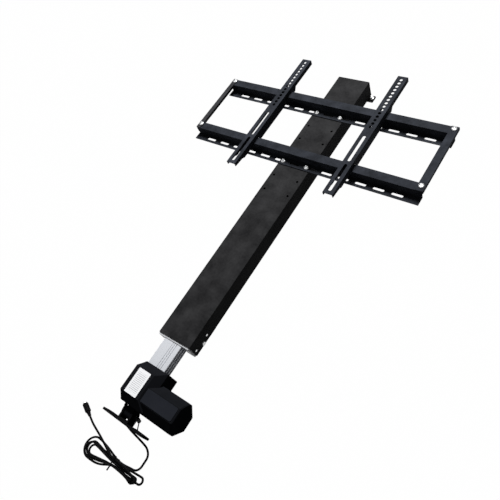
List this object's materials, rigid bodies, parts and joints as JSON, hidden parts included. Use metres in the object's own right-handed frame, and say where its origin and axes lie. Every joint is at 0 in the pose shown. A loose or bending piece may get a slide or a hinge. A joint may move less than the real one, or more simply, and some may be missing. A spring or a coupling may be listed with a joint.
{
  "type": "tv lift mechanism",
  "caption": "Motorised lift for a television: a steel column slides on an aluminium profile with a gearbox and motor at its foot, and carries slotted rails with hooked arms.",
  "frame": {"origin": "middle of the lift's base as it lies on its back on the wall plane, without its cord", "axes": "+X towards the motor's side across the bracket, +Y along the lift towards its top, +Z out of the side that carries the television; the lift is lowered at rest"},
  "size_m": [0.7204, 1.2395, 0.0948],
  "materials": {
    "black_steel": "satin powder coat",
    "silver_profile": "satin anodised",
    "zinc_steel": "zinc plated",
    "black_screw": "black oxide",
    "screw_steel": "greased steel",
    "bronze": "machined",
    "housing_plastic": "fine moulded texture",
    "slide_plastic": "smooth",
    "bush_plastic": "smooth",
    "label_white": "bare film",
    "cord_black": "satin",
    "plug_metal": "bright nickel"
  },
  "bodies": {
    "base": {"lift_profile": "silver_profile", "gearbox_back_half": "housing_plastic", "gearbox_front_half": "housing_plastic", "motor_cover": "housing_plastic", "rating_label": "label_white", "slide_block": "slide_plastic", "tube_collar": "slide_plastic", "upper_wall_bracket": "black_steel", "lower_wall_bracket": "black_steel", "wall_bolt_left": "zinc_steel", "wall_bolt_right": "zinc_steel", "cord_gland": "housing_plastic", "cord_lead": "cord_black", "cord_hank": "cord_black", "hank_tie": "cord_black", "cord_tail": "cord_black", "plug_body": "cord_black", "plug_tip": "plug_metal"},
    "screw": {"lead_screw": "screw_steel"},
    "carriage": {"lift_column": "black_steel", "column_cap": "black_steel", "cap_bolt": "zinc_steel", "guide_bush": "bush_plastic", "push_tube": "screw_steel", "drive_nut": "bronze", "bush_bolt_left": "zinc_steel", "bush_bolt_right": "zinc_steel", "bush_screw_left_1": "zinc_steel", "bush_screw_left_2": "zinc_steel", "bush_screw_right_1": "zinc_steel", "bush_screw_right_2": "zinc_steel", "upper_rail": "black_steel", "lower_rail": "black_steel", "rail_bolt_upper_left": "zinc_steel", "rail_bolt_upper_right": "zinc_steel", "rail_bolt_lower_left": "zinc_steel", "rail_bolt_lower_right": "zinc_steel", "end_bar_left": "black_steel", "end_bar_right": "black_steel", "bar_bolt_upper_left": "zinc_steel", "bar_bolt_upper_right": "zinc_steel", "bar_bolt_lower_left": "zinc_steel", "bar_bolt_lower_right": "zinc_steel"},
    "left_arm": {"bracket_arm_left": "black_steel", "arm_screw_left": "black_screw"},
    "right_arm": {"bracket_arm_right": "black_steel", "arm_screw_right": "black_screw"},
    "foot": {"foot_plate": "black_steel", "clevis_pin": "zinc_steel", "pin_clip": "zinc_steel"}
  },
  "joints": [
    {"name": "lift", "type": "slide", "parent": "base", "child": "carriage", "axis": [0, 1, 0], "range_m": [0, 0.7]},
    {"name": "screw_turn", "type": "hinge", "parent": "base", "child": "screw", "pos_m": [0, -0.4, 0.037], "axis": [0, -1, 0], "range_deg": [0, 31510]},
    {"name": "left_arm_slide", "type": "slide", "parent": "carriage", "child": "left_arm", "axis": [-1, 0, 0], "range_m": [-0.135, 0.165]},
    {"name": "right_arm_slide", "type": "slide", "parent": "carriage", "child": "right_arm", "axis": [1, 0, 0], "range_m": [-0.135, 0.165]},
    {"name": "foot_swing", "type": "hinge", "parent": "base", "child": "foot", "pos_m": [0, -0.542, 0.028], "axis": [1, 0, 0], "range_deg": [-5, 5]}
  ],
  "couplings": [
    {"joint": "screw_turn", "follows": "lift", "rad_per_m": 785.4}
  ]
}
